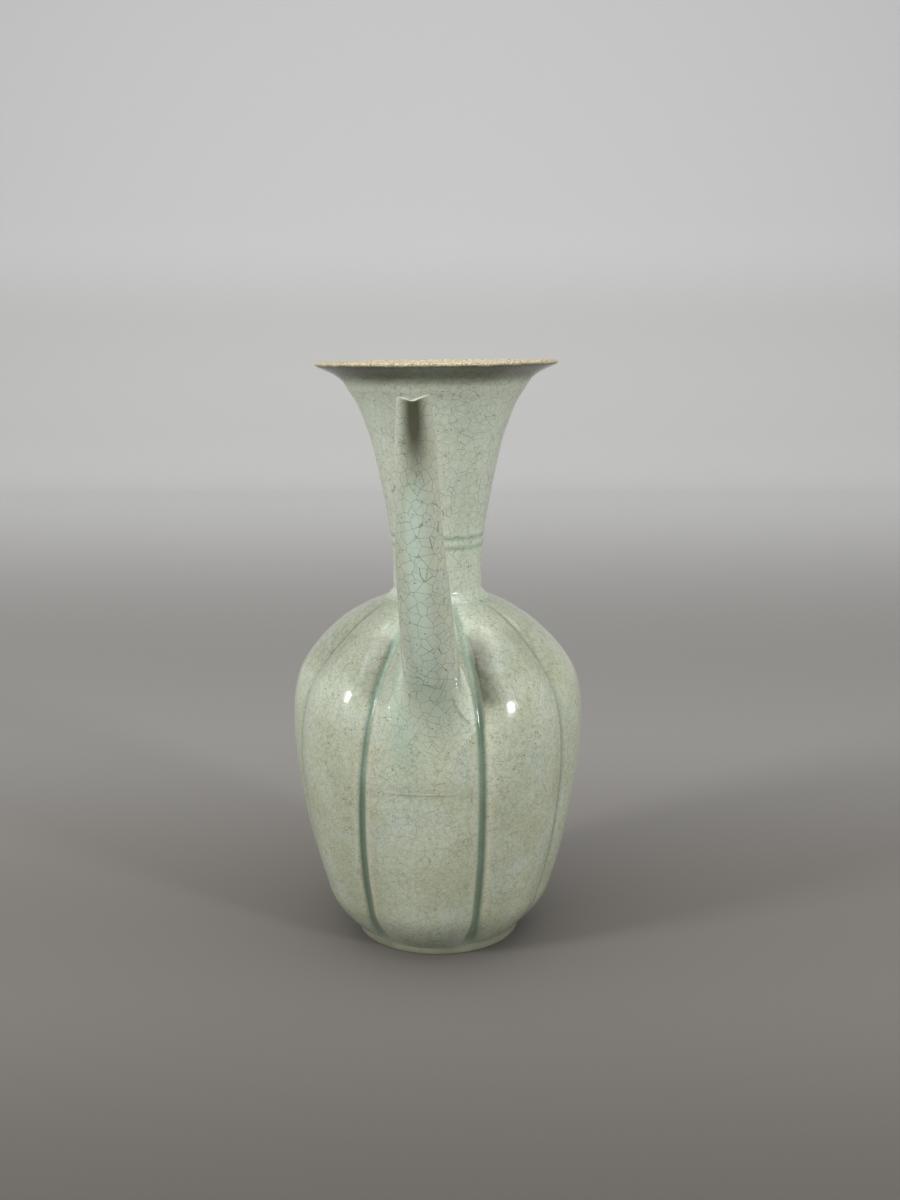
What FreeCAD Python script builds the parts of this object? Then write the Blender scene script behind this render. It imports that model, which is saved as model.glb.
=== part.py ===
import FreeCAD, Part
import math
import os

# Lobed porcelain ewer with a trumpet mouth, a long spout and a strap handle, in millimetres.
# +Z is up and the origin is the centre of the foot, on the surface that the ewer stands on.
# The spout points along -Y and the handle is at +Y. Azimuths count from -Y towards +X.
# Each piece is a section that the potter throws, presses or pulls. Slip joints hold them together.

Vector = FreeCAD.Vector

# Foot ring, turned from its own collar of clay
foot_height = 4.0
foot_radius = 35.4
foot_width = 6.0
foot_chamfer = 0.9

# Belly, thrown in two halves and pressed into lobes
belly_height = 144.0
base_overhang = 1.1
belly_radius = 62.2
belly_wall = 3.4
belly_floor = 4.6
groove_depth = 4.0
groove_width = 3.0
seam_height = 80.0
seam_band_height = 5.0
seam_band_thickness = 0.8

# One row per station: share of belly_height, share of the way from base to belly_radius,
# share of groove_depth
lower_shares = [
    (0.000, 0.000, 0.15),
    (0.030, 0.167, 0.30),
    (0.085, 0.405, 0.45),
    (0.168, 0.584, 0.55),
    (0.285, 0.758, 0.55),
    (0.425, 0.898, 0.55),
    (0.560, 0.988, 0.60),
    (0.660, 1.000, 0.70),
]

# The same above the widest part, with the share of the way from mouth to belly_radius
upper_shares = [
    (0.730, 0.977, 0.80),
    (0.790, 0.911, 0.90),
    (0.850, 0.772, 1.00),
    (0.900, 0.608, 1.00),
    (0.950, 0.382, 0.85),
    (0.980, 0.177, 0.50),
    (1.000, 0.000, 0.00),
]

# Azimuth of each groove at half the belly's height, and how far it leans from foot to neck, in degrees
groove_azimuths = [-72.0, -30.2, 18.0, 59.0, 104.0, 150.0, 196.0, 242.0]
groove_leans = [22.0, 14.0, -4.0, -6.0, 0.0, 3.0, -2.0, 4.0]
lobe_swell_share = 0.6
floor_inset_share = 1.8
inner_groove_share = 0.7
seam_groove_share = 0.58

# Slip that joins the pieces
slip = 1.2
fillet_width = 2.2
fillet_height = 5.0
fillet_tail = 0.5

# Neck and trumpet mouth
neck_height = 95.8
neck_radius = 18.8
neck_wall = 3.4
rim_radius = 49.4
lip_thickness = 1.9
root_spread = 1.77
root_bead = 1.0

# One row per station above the root: share of neck_height, share of the flare from neck to rim
neck_shares = [
    (0.020, 0.008),
    (0.060, 0.000),
    (0.134, 0.000),
    (0.238, 0.024),
    (0.327, 0.058),
    (0.530, 0.178),
    (0.735, 0.340),
    (0.893, 0.570),
    (0.966, 0.770),
    (1.000, 1.000),
]

# Two lines pressed around the neck, at these heights above its root
string_rises = [20.8, 25.0]
string_radius = 1.1
string_depth = 0.5

# Spout, a tapered tube that rises from the shoulder, this far below the belly's top
spout_root_drop = 24.0
spout_rise = 111.2
spout_overhang = 31.7
spout_lean = 7.3
spout_root_radius = 11.2
spout_tip_radius = 6.0
spout_wall = 2.6
spout_lip = 1.5
spout_dip = 1.4
spout_dip_radius = 5.0
pierced_clearance = 1.0

# One row per station: shares of the way out, the way up, the lean and the taper from tip to root
spout_shares = [
    (-0.46, -0.13, 0.16, 1.12),
    (-0.10, -0.03, 0.20, 1.05),
    (0.10, 0.06, 0.27, 0.98),
    (0.28, 0.17, 0.40, 0.89),
    (0.46, 0.34, 0.60, 0.74),
    (0.58, 0.53, 0.80, 0.56),
    (0.67, 0.71, 0.86, 0.35),
    (0.80, 0.87, 0.94, 0.22),
    (1.00, 1.00, 1.00, 0.00),
    (1.10, 1.05, 1.02, -0.08),
]
spout_fillet_shares = [1.0, 1.0, 0.0]

# Strap handle, pulled and pressed with three ribs. It leaves the neck above the neck's root
# and comes back to the belly below the belly's top.
handle_top_rise = 30.8
handle_arch_rise = 27.0
handle_foot_drop = 19.0
handle_overhang = 11.8
handle_width = 20.0
handle_thickness = 5.2
handle_rib = 0.9
handle_ribs = 3
handle_root = 6.0

# One row per bend: share of the way from neck to reach, share of the way from foot to peak
handle_shares = [
    (0.13, 0.78),
    (0.34, 0.94),
    (0.57, 1.00),
    (0.80, 0.92),
    (0.95, 0.72),
    (1.00, 0.48),
    (0.93, 0.24),
    (0.77, 0.08),
]
handle_sections = 15

# How far a cutting body reaches past what it cuts
overrun = 10.0

belly_top = foot_height + belly_height
neck_base = belly_top + slip
rim_height = neck_base + neck_height
bore_radius = neck_radius - neck_wall
root_radius = neck_radius + root_spread
mouth_radius = root_radius + slip
base_radius = foot_radius + base_overhang
spout_root_height = belly_top - spout_root_drop
spout_tip_height = spout_root_height + spout_rise
handle_top_height = neck_base + handle_top_rise
handle_peak_height = handle_top_height + handle_arch_rise
handle_foot_height = belly_top - handle_foot_drop
handle_reach = belly_radius + handle_overhang


def around(radius, azimuth, z):
    """A point at this radius and azimuth, in degrees."""
    angle = math.radians(azimuth)
    return Vector(radius * math.sin(angle), -radius * math.cos(angle), z)


def smooth_curve(points):
    curve = Part.BSplineCurve()
    curve.interpolate(points)
    return curve


def at_height(outline, z):
    """The point of an outline that rises all the way, at this height."""
    low = outline.FirstParameter
    high = outline.LastParameter
    for _ in range(50):
        middle = (low + high) / 2
        if outline.value(middle).z < z:
            low = middle
        else:
            high = middle
    return outline.value(low)


def inward(outline, point):
    """The direction into the wall, square to an outline in the XZ plane."""
    along = outline.tangent(outline.parameter(point))[0]
    return Vector(-along.z, 0, along.x)


def disc_slab(low, high, radius):
    return Part.makeCylinder(radius, high - low, Vector(0, 0, low))


def ring_of(edges):
    """A closed solid of revolution from the edges of its half section."""
    face = Part.Face(Part.Wire(edges))
    return face.revolve(Vector(0, 0, 0), Vector(0, 0, 1), 360)


def line(start, end):
    return Part.LineSegment(start, end).toShape()


def lobed_wire(z, radius, depth):
    """Eight bulging arcs with a hollow channel between each two."""
    share = (z - foot_height) / belly_height
    grooves = [azimuth + lean * (share - 1 / 2) for azimuth, lean in zip(groove_azimuths, groove_leans)]
    grooves.append(grooves[0] + 360)
    half = math.degrees(math.asin(groove_width / 2 / radius))
    edge_radius = radius - depth * lobe_swell_share
    edges = []
    for left, right in zip(grooves, grooves[1:]):
        start = around(edge_radius, left + half, z)
        end = around(edge_radius, right - half, z)
        crest = around(radius, (left + right) / 2, z)
        bottom = around(radius - depth, right, z)
        edges.append(Part.Arc(start, crest, end).toShape())
        edges.append(Part.Arc(end, bottom, around(edge_radius, right + half, z)).toShape())
    return Part.Wire(edges)


def belly_stations():
    """Height, radius and groove depth of each station, from the base to the mouth."""
    stations = []
    for end_radius, rows in ((base_radius, lower_shares), (mouth_radius, upper_shares)):
        for height_share, radius_share, depth_share in rows:
            z = foot_height + belly_height * height_share
            radius = end_radius + (belly_radius - end_radius) * radius_share
            stations.append((z, radius, groove_depth * depth_share))
    return stations


def belly_outline():
    return smooth_curve([Vector(radius, 0, z) for z, radius, _ in belly_stations()])


def belly_body():
    """The belly's outside as one solid, which its halves and neighbours are cut by."""
    wires = [lobed_wire(z, radius, depth) for z, radius, depth in belly_stations()]
    return Part.makeLoft(wires, True, False)


def belly_cavity(outline):
    """The space inside the belly, with the way up into the neck."""
    floor_radius = base_radius - belly_wall * floor_inset_share
    wires = [lobed_wire(foot_height + belly_floor, floor_radius, 0)]
    for z, radius, depth in belly_stations()[2:-1]:
        outside = Vector(radius, 0, z)
        inside = outside + inward(outline, outside) * belly_wall
        wires.append(lobed_wire(inside.z, inside.x, depth * inner_groove_share))
    wires.append(lobed_wire(belly_top - belly_wall, bore_radius, 0))
    cavity = Part.makeLoft(wires, True, False)
    return cavity.fuse(disc_slab(belly_top - belly_wall - slip, belly_top + overrun, bore_radius))


def foot_ring():
    inner = foot_radius - foot_width
    corners = [
        Vector(inner + foot_chamfer, 0, 0),
        Vector(foot_radius - foot_chamfer, 0, 0),
        Vector(foot_radius, 0, foot_chamfer),
        Vector(foot_radius, 0, foot_height),
        Vector(inner, 0, foot_height),
        Vector(inner, 0, foot_chamfer),
    ]
    return ring_of([line(a, b) for a, b in zip(corners, corners[1:] + corners[:1])])


def seam_ring(body, cavity, outline):
    """Slip between the halves, smeared into a low band on the inside."""
    layer = disc_slab(seam_height - slip / 2, seam_height + slip / 2, belly_radius + overrun)
    wall = body.common(layer).cut(cavity)
    low = seam_height - seam_band_height / 2
    high = seam_height + seam_band_height / 2
    depth = groove_depth * seam_groove_share * inner_groove_share
    wires = []
    for z in (low - slip, high + slip):
        wires.append(lobed_wire(z, at_height(outline, z).x - belly_wall - seam_band_thickness, depth))
    band = cavity.common(disc_slab(low, high, belly_radius + overrun)).cut(Part.makeLoft(wires, True, True))
    return wall.fuse(band)


def neck_outline():
    flare = rim_radius - neck_radius
    points = [Vector(root_radius, 0, neck_base)]
    for height_share, flare_share in neck_shares:
        points.append(Vector(neck_radius + flare * flare_share, 0, neck_base + neck_height * height_share))
    return smooth_curve(points)


def neck_body():
    """The neck's outside as one solid, which the handle is cut by."""
    outline = neck_outline()
    top = Vector(0, 0, rim_height)
    bottom = Vector(0, 0, neck_base)
    edges = [outline.toShape(), line(Vector(rim_radius, 0, rim_height), top), line(top, bottom)]
    edges.append(line(bottom, Vector(root_radius, 0, neck_base)))
    return ring_of(edges)


def neck():
    outline = neck_outline()
    inside = [Vector(bore_radius, 0, neck_base)]
    for height_share, flare_share in neck_shares[2:]:
        z = neck_base + neck_height * height_share
        outside = Vector(neck_radius + (rim_radius - neck_radius) * flare_share, 0, z)
        thickness = neck_wall + (lip_thickness - neck_wall) * height_share
        inside.append(outside + inward(outline, outside) * thickness)
    lip_top = inside[-1]
    edge = Vector(rim_radius, 0, rim_height)
    outward = outline.tangent(outline.LastParameter)[0]
    crown = (lip_top + edge) / 2 + outward * (lip_thickness / 2)
    edges = [
        outline.toShape(),
        Part.Arc(edge, crown, lip_top).toShape(),
        smooth_curve(inside).toShape(),
        line(inside[0], Vector(root_radius, 0, neck_base)),
    ]
    solid = ring_of(edges)
    for rise in string_rises:
        z = neck_base + rise
        middle = at_height(outline, z).x + string_radius - string_depth
        solid = solid.cut(Part.makeTorus(middle, string_radius, Vector(0, 0, z)))
    return solid


def neck_ring():
    """Slip under the neck, with a bead on the inside."""
    corners = [
        Vector(bore_radius, 0, belly_top),
        Vector(mouth_radius, 0, belly_top),
        Vector(root_radius, 0, neck_base),
        Vector(bore_radius, 0, neck_base),
    ]
    edges = [line(a, b) for a, b in zip(corners, corners[1:])]
    bead = Vector(bore_radius - root_bead, 0, belly_top + slip / 2)
    edges.append(Part.Arc(corners[3], bead, corners[0]).toShape())
    return ring_of(edges)


def spout_stations(outline):
    """The spout's centre points from inside the belly to past the tip, each with its radius."""
    root = at_height(outline, spout_root_height).x
    stations = []
    for out, up, lean, taper in spout_shares:
        y = -(root + spout_overhang * out)
        z = spout_root_height + (spout_tip_height - spout_root_height) * up
        radius = spout_tip_radius + (spout_root_radius - spout_tip_radius) * taper
        stations.append((Vector(-spout_lean * lean, y, z), radius))
    return stations


def round_wire(curve, point, radius):
    along = curve.tangent(curve.parameter(point))[0]
    return Part.Wire(Part.Circle(point, along, radius).toShape())


def tube(stations, gap_at_root, gap_at_tip):
    """A tapered tube through the stations, thinner than them by a gap that changes evenly."""
    curve = smooth_curve([point for point, _ in stations])
    wires = []
    last = len(stations) - 1
    for number, (point, radius) in enumerate(stations):
        gap = gap_at_root + (gap_at_tip - gap_at_root) * number / last
        wires.append(round_wire(curve, point, radius - gap))
    return Part.makeLoft(wires, True, False)


def tip_cutter(outline):
    """What is taken off the spout's end: all above the tip, and a dip along the way it pours."""
    reach = at_height(outline, spout_root_height).x + spout_overhang
    corner = Vector(-spout_lean - spout_root_radius, -reach - spout_root_radius, spout_tip_height)
    above = Part.makeBox(2 * spout_root_radius, 2 * spout_root_radius, overrun, corner)
    start = Vector(-spout_lean, corner.y, spout_tip_height + spout_dip_radius - spout_dip)
    return above.fuse(Part.makeCylinder(spout_dip_radius, 2 * spout_root_radius, start, Vector(0, 1, 0)))


def spout_fillet(stations, spout_outside, body):
    """Slip drawn out around the spout's root."""
    curve = smooth_curve([point for point, _ in stations])
    wires = []
    for (point, radius), share in zip(stations, spout_fillet_shares):
        wires.append(round_wire(curve, point, radius + fillet_tail + fillet_width * share))
    return Part.makeLoft(wires, True, False).cut(spout_outside).cut(body)


def strap_wire(point, along, grow):
    """The strap's section: ribs on the outside, a flat inside and round edges."""
    side = Vector(1, 0, 0)
    out = side.cross(along)
    half = handle_thickness / 2 + grow
    edge = handle_width / 2 + grow - half
    marks = [edge - 2 * edge * number / handle_ribs for number in range(handle_ribs + 1)]
    edges = []
    for start, end in zip(marks, marks[1:]):
        ends = [point + side * mark + out * half for mark in (start, end)]
        top = point + side * ((start + end) / 2) + out * (half + handle_rib)
        edges.append(Part.Arc(ends[0], top, ends[1]).toShape())
    low = [point + side * sign * edge - out * half for sign in (-1, 1)]
    edges.append(Part.Arc(point - side * edge + out * half, point - side * (edge + half), low[0]).toShape())
    edges.append(line(low[0], low[1]))
    edges.append(Part.Arc(low[1], point + side * (edge + half), point + side * edge + out * half).toShape())
    return Part.Wire(edges)


def handle_curve(belly, neck_line):
    """The strap's centre line, from inside the neck's wall to inside the belly's."""
    neck_side = at_height(neck_line, handle_top_height).x
    foot_point = at_height(belly, handle_foot_height)
    points = [Vector(0, neck_side - handle_root, handle_top_height - handle_root)]
    for out, up in handle_shares:
        y = neck_side + (handle_reach - neck_side) * out
        points.append(Vector(0, y, handle_foot_height + (handle_peak_height - handle_foot_height) * up))
    inside = foot_point + inward(belly, foot_point) * handle_root
    points.append(Vector(0, inside.x, inside.z))
    return smooth_curve(points)


def strap(curve, shares, grow):
    """The strap between these shares of its centre line's length, grown on every side."""
    wires = []
    for share, extra in zip(shares, grow):
        place = curve.parameterAtDistance(curve.length() * share, curve.FirstParameter)
        wires.append(strap_wire(curve.value(place), curve.tangent(place)[0], extra))
    return Part.makeLoft(wires, True, False)


def strap_fillet(curve, from_foot):
    """Slip drawn out around one end of the strap."""
    reach_share = (fillet_height + handle_root) / curve.length()
    shares = [0, reach_share / 2, reach_share]
    grow = [fillet_width, fillet_width, fillet_tail]
    if from_foot:
        shares = [1 - share for share in shares]
    return strap(curve, shares, grow)


def main():
    outline = belly_outline()
    body = belly_body()
    cavity = belly_cavity(outline)
    shell = body.cut(cavity)
    below = disc_slab(foot_height - overrun, seam_height - slip / 2, belly_radius + overrun)
    above = disc_slab(seam_height + slip / 2, belly_top + overrun, belly_radius + overrun)

    stations = spout_stations(outline)
    spout_outside = tube(stations, 0, 0)
    spout_bore = tube(stations, spout_wall, spout_lip)
    pierced_hole = tube(stations[:4], spout_wall + pierced_clearance, spout_wall + pierced_clearance)

    neck_solid = neck_body()
    centre_line = handle_curve(outline, neck_outline())
    shares = [number / (handle_sections - 1) for number in range(handle_sections)]
    strap_solid = strap(centre_line, shares, [0] * handle_sections)
    neck_and_belly = neck_solid.fuse(body)

    pieces = {
        "foot_ring": foot_ring(),
        "lower_belly": shell.common(below),
        "belly_seam_slip": seam_ring(body, cavity, outline),
        "upper_belly": shell.common(above).cut(pierced_hole),
        "neck_seam_slip": neck_ring(),
        "neck": neck(),
        "spout": spout_outside.cut(spout_bore).cut(body).cut(tip_cutter(outline)),
        "spout_seam_slip": spout_fillet(stations, spout_outside, body),
        "handle": strap_solid.cut(neck_and_belly),
        "handle_top_slip": strap_fillet(centre_line, False).cut(strap_solid).cut(neck_solid),
        "handle_foot_slip": strap_fillet(centre_line, True).cut(strap_solid).cut(body),
    }
    os.makedirs("parts", exist_ok=True)
    for name, shape in pieces.items():
        solids = shape.Solids
        print(name, len(solids), [round(solid.Volume) for solid in solids], shape.isValid())
        shape.exportStep(os.path.join("parts", name + ".step"))


main()
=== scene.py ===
"""Lobed celadon ewer: the potter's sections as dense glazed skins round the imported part."""
import math

import bmesh
import bpy
import numpy as np
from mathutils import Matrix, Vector


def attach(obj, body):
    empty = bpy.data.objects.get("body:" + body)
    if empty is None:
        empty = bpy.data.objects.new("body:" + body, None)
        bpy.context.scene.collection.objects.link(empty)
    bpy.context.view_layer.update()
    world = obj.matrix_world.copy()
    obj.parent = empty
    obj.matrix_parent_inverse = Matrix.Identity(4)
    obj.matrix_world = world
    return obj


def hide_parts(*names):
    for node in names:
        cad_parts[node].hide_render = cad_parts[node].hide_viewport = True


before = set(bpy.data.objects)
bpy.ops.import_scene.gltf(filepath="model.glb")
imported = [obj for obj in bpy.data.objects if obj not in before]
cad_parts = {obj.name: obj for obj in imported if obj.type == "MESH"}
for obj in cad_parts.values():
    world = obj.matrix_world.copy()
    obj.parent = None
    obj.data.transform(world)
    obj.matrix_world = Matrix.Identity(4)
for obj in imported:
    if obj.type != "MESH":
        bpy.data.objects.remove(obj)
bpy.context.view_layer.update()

# Sizes in millimetres, as the part's source gives them. The origin is the foot's centre.
MM = 0.001
FOOT_HEIGHT = 4.0
FOOT_RADIUS = 35.4
FOOT_WIDTH = 6.0
BELLY_HEIGHT = 144.0
BELLY_RADIUS = 62.2
BASE_RADIUS = 36.5
MOUTH_RADIUS = 21.77
BELLY_WALL = 3.4
BELLY_FLOOR = 4.6
GROOVE_DEPTH = 4.0
GROOVE_WIDTH = 3.9
LOBE_SWELL = 0.5
INNER_GROOVE = 0.7
SEAM_HEIGHT = 80.0
SLIP = 1.2
BELLY_TOP = FOOT_HEIGHT + BELLY_HEIGHT
NECK_BASE = BELLY_TOP + SLIP
NECK_HEIGHT = 95.8
RIM_HEIGHT = NECK_BASE + NECK_HEIGHT
NECK_RADIUS = 18.8
NECK_WALL = 3.4
BORE_RADIUS = NECK_RADIUS - NECK_WALL
ROOT_RADIUS = MOUTH_RADIUS - SLIP
RIM_RADIUS = 49.4
LIP_THICKNESS = 1.9
STRING_HEIGHTS = (170.0, 174.2)
SPOUT_ROOT = 124.0
SPOUT_RISE = 111.2
SPOUT_OVERHANG = 31.7
SPOUT_LEAN = 7.3
SPOUT_ROOT_RADIUS = 11.2
SPOUT_TIP_RADIUS = 6.0
SPOUT_WALL = 2.6
SPOUT_LIP = 1.5
SPOUT_DIP = 1.4
SPOUT_DIP_RADIUS = 5.0
SPOUT_MARGIN = 2.3
HANDLE_TOP = 180.0
HANDLE_PEAK = 207.0
HANDLE_FOOT = 129.0
HANDLE_REACH = 74.0
HANDLE_WIDTH = 20.0
HANDLE_THICKNESS = 5.2
HANDLE_RIBS = 3

# Where the dressed surface departs from the part's source: the shares of a groove that the glaze
# fills beside the spout and elsewhere, and heights kept low so that nothing stands past the solids
GLAZE_FILL = 0.2
SIDE_FILL = 0.5
BELLY_DROP = 0.11
BELLY_WAVE = 0.09
SEAM_FOLD = 0.22
STRING_DEPTH = 0.26
HANDLE_RIB = 0.87

# Degrees round the axis, from the front and growing to the right: the middle of the lobe that
# carries the spout, and how far the two grooves beside it hold their own depth and glaze
SPOUT_LOBE = -6.0
FRONT_REACH = 52.0
FRONT_FADE = 16.0

# Distance from the foot's inner or outer side, height, and how bare the clay is
FOOT_INSIDE_ROWS = [
    (0.0, FOOT_HEIGHT, 0.3), (0.0, 2.5, 0.5), (0.1, 1.0, 0.9), (0.45, 0.35, 1.0), (1.0, 0.05, 1.0),
    (1.6, 0.0, 1.0), (3.0, 0.0, 1.0),
]
FOOT_OUTSIDE_ROWS = [
    (1.4, 0.0, 1.0), (0.9, 0.08, 0.8), (0.35, 0.4, 0.2), (0.05, 1.0, 0.0), (0.0, 2.0, 0.0),
    (0.0, 3.2, 0.0), (0.0, FOOT_HEIGHT, 0.0),
]
# Height share, radius share from the base or the mouth to the widest part, groove depth share
LOWER_ROWS = [
    (0.000, 0.000, 0.15), (0.030, 0.167, 0.30), (0.085, 0.405, 0.45), (0.168, 0.584, 0.55),
    (0.285, 0.758, 0.55), (0.425, 0.898, 0.55), (0.560, 0.988, 0.60), (0.660, 1.000, 0.70),
]
UPPER_ROWS = [
    (0.730, 0.977, 0.80), (0.790, 0.911, 0.90), (0.850, 0.772, 1.00), (0.900, 0.608, 1.00),
    (0.950, 0.382, 0.85), (0.980, 0.177, 0.50), (1.000, 0.000, 0.00),
]
# Height and depth of the soft valley on both sides of each groove
VALLEY_ROWS = [
    (4.0, 0.5), (12.0, 0.9), (30.0, 0.8), (60.0, 0.5), (85.0, 0.7), (100.0, 1.3), (112.0, 2.2),
    (122.0, 2.6), (132.0, 2.3), (141.0, 1.2), (148.0, 0.0),
]
VALLEY_WIDTH = 7.0
# Height share, and radius share from the narrowest part to the rim
NECK_ROWS = [
    (0.000, 0.0580), (0.020, 0.008), (0.060, 0.000), (0.134, 0.000), (0.238, 0.024), (0.327, 0.058),
    (0.530, 0.178), (0.735, 0.340), (0.893, 0.570), (0.966, 0.770), (1.000, 1.000),
]
# Distance past the rim's radius, and height above the rim's edge, over the rounded lip
LIP_ROWS = [(0.45, 0.35), (0.62, 0.85), (0.45, 1.35), (-0.05, 1.72), (-0.7, 1.80), (-1.4, 1.55)]
# Radii of the rings under the belly, and radius and lift of the rings on its floor
UNDERSIDE_RADII = (1.5, 5, 9, 13, 17, 21, 25, 28.5, 29.3, 35.5)
FLOOR_ROWS = ((37.5, 3.2), (35.0, 1.4), (31.5, 0.4), (27.0, 0), (20, 0), (12, 0), (5, 0), (1.5, 0))
# Height above the seam's middle, and how far in from the crest, over the band of slip inside it
SEAM_BAND_ROWS = (
    (SLIP / 2, BELLY_WALL), (2.5, BELLY_WALL - 0.2), (2.2, 4.1), (0, 4.3), (-2.2, 4.1),
    (-2.5, BELLY_WALL - 0.2), (-SLIP / 2, BELLY_WALL),
)
# Height above the neck's base where each stretch of rings starts, and how many rings it has
NECK_STRETCHES = [(0.0, 12), (4.0, 14), (18.0, 50), (28.0, 56), (84.0, 30)]
# Degrees round the axis half way up, and degrees that each groove leans over its whole height
GROOVE_AZIMUTHS = np.array([-72.0, -30.2, 18.0, 59.0, 104.0, 150.0, 196.0, 242.0])
GROOVE_LEANS = np.array([22.0, 14.0, -4.0, -6.0, 0.0, 3.0, -2.0, 4.0])
# Shares of the spout's overhang, its rise, its lean and its taper, along the centre line
SPOUT_ROWS = [
    (-0.46, -0.13, 0.16, 1.12), (-0.10, -0.03, 0.20, 1.05), (0.10, 0.06, 0.27, 0.98),
    (0.28, 0.17, 0.40, 0.89), (0.46, 0.34, 0.60, 0.74), (0.58, 0.53, 0.80, 0.56),
    (0.67, 0.71, 0.86, 0.35), (0.80, 0.87, 0.94, 0.22), (1.00, 1.00, 1.00, 0.00),
    (1.10, 1.05, 1.02, -0.08),
]
# Shares of the handle's reach from the neck and of its height, along the strap
HANDLE_ROWS = [
    (0.13, 0.78), (0.34, 0.94), (0.57, 1.00), (0.80, 0.92), (0.95, 0.72), (1.00, 0.48),
    (0.93, 0.24), (0.77, 0.08),
]

# Size in millimetres of the flakes between the cracks in the glaze
WIDE_FLAKE = 4.3
MIDDLE_FLAKE = 2.7
FINE_FLAKE = 1.7
# How far the handle's crackle goes towards the large flakes
HANDLE_CRACKLE = 0.45

# What the surface shows at a place, each from 0 to 1: thick and green glaze, painted light, thin and warm
# glaze, painted shade, crackled in large flakes, or worn down to the clay
MASKS = ("pool", "pale", "thin", "dusk", "coarse", "bare")


# Lines and surfaces

def smooth_line(places, values):
    """A smooth line through values at rising places, as a function of the place."""
    places, values = np.array(places, float), np.array(values, float)
    slopes = np.gradient(values, places, axis=0)

    def at(where):
        where = np.clip(np.asarray(where, float), places[0], places[-1])
        left = np.clip(np.searchsorted(places, where, side="right") - 1, 0, len(places) - 2)
        width = places[left + 1] - places[left]
        t = (where - places[left]) / width
        if values.ndim > 1:
            t, width = t[..., None], width[..., None]
        ease = t * t * (3 - 2 * t)
        lead = t * (1 - t) ** 2 * slopes[left] - t * t * (1 - t) * slopes[left + 1]
        return values[left] * (1 - ease) + values[left + 1] * ease + lead * width

    return at


def rounded(t):
    """0 below 0 and 1 above 1, with a soft rise between."""
    t = np.clip(t, 0, 1)
    return t * t * (3 - 2 * t)


def rise(value, start, length):
    """0 up to the start, and 1 from a length past it."""
    return rounded((value - start) / length)


def fall(value, end, length):
    """1 until a length short of the end, and 0 from the end on."""
    return rounded((end - value) / length)


def hump(distance, width):
    """1 at no distance, falling softly to 0 past the width."""
    return np.exp(-((distance / width) ** 2))


def round_point(radius, azimuth, z):
    """A point at this radius and this many degrees round the axis."""
    angle = np.radians(azimuth)
    return np.stack(np.broadcast_arrays(radius * np.sin(angle), -radius * np.cos(angle), z), -1)


def azimuth_of(points):
    """Degrees round the axis from the front, growing to the right."""
    return np.degrees(np.arctan2(points[..., 0], -points[..., 1]))


def turn_from(azimuth, middle):
    """Degrees to the right of the middle, from -180 to 180."""
    return (azimuth - middle + 180) % 360 - 180


def unit(vectors):
    return vectors / np.maximum(np.linalg.norm(vectors, axis=-1, keepdims=True), 1e-9)


def straight_out(points):
    """Level directions away from the axis."""
    return unit(points * [1, 1, 0])


def lengths_along(points):
    """How long a line of points is, from its start to each of them."""
    return np.concatenate([[0], np.cumsum(np.linalg.norm(np.diff(points, axis=0), axis=1))])


belly_rows = [(h, BASE_RADIUS + (BELLY_RADIUS - BASE_RADIUS) * r, d) for h, r, d in LOWER_ROWS]
belly_rows += [(h, MOUTH_RADIUS + (BELLY_RADIUS - MOUTH_RADIUS) * r, d) for h, r, d in UPPER_ROWS]
heights, radii, depths = zip(*belly_rows)
belly_profile = smooth_line(heights, radii)
belly_depth = smooth_line(heights, [GROOVE_DEPTH * depth for depth in depths])
valley_depth = smooth_line(*zip(*VALLEY_ROWS))
neck_profile = smooth_line([row[0] for row in NECK_ROWS],
                           [NECK_RADIUS + (RIM_RADIUS - NECK_RADIUS) * row[1] for row in NECK_ROWS])


def belly_share(z):
    """How far up the belly a height is, from 0 to 1."""
    return np.clip((z - FOOT_HEIGHT) / BELLY_HEIGHT, 0, 1)


def groove_places(azimuth, z):
    """Degrees from the groove on the left and to the one on the right, at each place."""
    lines = GROOVE_AZIMUTHS + GROOVE_LEANS * (belly_share(z)[..., None] - 0.5)
    ahead = (np.asarray(azimuth)[..., None] - lines) % 360
    gaps = (np.roll(lines, -1, axis=-1) - lines) % 360
    lobe = ahead.argmin(-1)[..., None]
    left = np.take_along_axis(ahead, lobe, -1)[..., 0]
    return left, np.take_along_axis(gaps, lobe, -1)[..., 0] - left


def front_share(azimuth):
    """1 round the two grooves beside the spout and 0 round the rest."""
    return fall(np.abs(turn_from(azimuth, SPOUT_LOBE)), FRONT_REACH, FRONT_FADE)


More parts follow.
